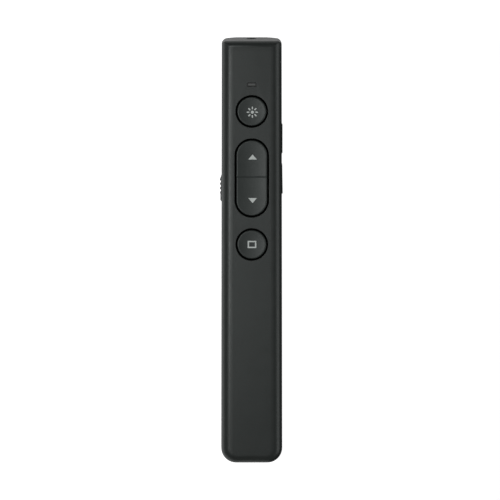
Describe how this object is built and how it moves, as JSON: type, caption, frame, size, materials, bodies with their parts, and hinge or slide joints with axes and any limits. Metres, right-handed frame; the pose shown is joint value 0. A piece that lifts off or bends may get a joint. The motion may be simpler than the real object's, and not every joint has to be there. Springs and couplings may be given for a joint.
{
  "type": "wireless presentation clicker",
  "caption": "Slim bar-shaped wireless presentation clicker with round buttons, a long rocker, side keys, a power slider, a laser end, a sliding battery door and a USB receiver in its back",
  "frame": {"origin": "middle of the resting flat on the rounded back", "axes": "+Z leaves the button face, +Y points to the laser end, +X points to the two side keys"},
  "size_m": [0.021, 0.1426, 0.0145],
  "materials": {
    "shell_plastic": "satin black moulded plastic",
    "cap_plastic": "satin black moulded plastic",
    "light_pipe": "milky clear plastic",
    "led_body": "moulded LED package",
    "board_laminate": "green solder mask",
    "chip_plastic": "black chip plastic",
    "chip_ceramic": "chip ceramic",
    "gold_plating": "gold plating",
    "plunger_plastic": "natural nylon",
    "contact_metal": "nickel plated sheet",
    "brass": "turned brass",
    "lens_glass": "clear lens",
    "cell_sleeve": "printed sleeve, plain",
    "tongue_plastic": "white plug tongue",
    "screw_steel": "dark plated steel"
  },
  "bodies": {
    "body": {"front_cover": "shell_plastic", "rear_housing": "shell_plastic", "status_light_pipe": "light_pipe", "status_led": "led_body", "main_board": "board_laminate", "radio_chip": "chip_plastic", "clock_crystal": "contact_metal", "small_parts": "chip_ceramic", "antenna_trace": "gold_plating", "laser_switch": "chip_plastic", "screen_switch": "chip_plastic", "page_up_switch": "chip_plastic", "page_down_switch": "chip_plastic", "upper_side_switch": "chip_plastic", "lower_side_switch": "chip_plastic", "power_switch": "contact_metal", "laser_barrel": "brass", "laser_lens": "lens_glass", "laser_diode": "gold_plating", "laser_driver_board": "board_laminate", "laser_pins": "gold_plating", "battery_cell": "cell_sleeve", "positive_contact": "contact_metal", "negative_contact": "contact_metal", "negative_spring": "contact_metal", "housing_screws": "screw_steel", "board_screws": "screw_steel"},
    "laser_key": {"laser_button": "cap_plastic", "laser_switch_plunger": "plunger_plastic"},
    "page_key": {"page_rocker": "cap_plastic"},
    "screen_key": {"screen_button": "cap_plastic", "screen_switch_plunger": "plunger_plastic"},
    "upper_key": {"upper_side_key": "cap_plastic", "upper_side_plunger": "plunger_plastic"},
    "lower_key": {"lower_side_key": "cap_plastic", "lower_side_plunger": "plunger_plastic"},
    "slider": {"power_slider": "cap_plastic", "power_switch_lever": "plunger_plastic"},
    "door": {"battery_door": "shell_plastic"},
    "receiver": {"receiver_grip": "shell_plastic", "receiver_plug_shell": "contact_metal", "receiver_tongue": "tongue_plastic", "receiver_contacts": "gold_plating"}
  },
  "joints": [
    {"name": "laser_press", "type": "slide", "parent": "body", "child": "laser_key", "axis": [0, 0, -1], "range_m": [0, 0.00035], "stiffness_N_per_m": 500, "springref_m": -0.001},
    {"name": "page_rock", "type": "hinge", "parent": "body", "child": "page_key", "pos_m": [0, 0.0254, 0.0122], "axis": [1, 0, 0], "range_deg": [-2, 2], "stiffness_Nm_per_rad": 0.03},
    {"name": "screen_press", "type": "slide", "parent": "body", "child": "screen_key", "axis": [0, 0, -1], "range_m": [0, 0.00035], "stiffness_N_per_m": 500, "springref_m": -0.001},
    {"name": "upper_key_press", "type": "slide", "parent": "body", "child": "upper_key", "axis": [-1, 0, 0], "range_m": [0, 0.00035], "stiffness_N_per_m": 500, "springref_m": -0.001},
    {"name": "lower_key_press", "type": "slide", "parent": "body", "child": "lower_key", "axis": [-1, 0, 0], "range_m": [0, 0.00035], "stiffness_N_per_m": 500, "springref_m": -0.001},
    {"name": "power_slide", "type": "slide", "parent": "body", "child": "slider", "axis": [0, 1, 0], "range_m": [0, 0.0024]},
    {"name": "door_slide", "type": "slide", "parent": "body", "child": "door", "axis": [0, -1, 0], "range_m": [0, 0.06]},
    {"name": "receiver_pull", "type": "slide", "parent": "body", "child": "receiver", "axis": [0, 0, -1], "range_m": [0, 0.008]}
  ]
}
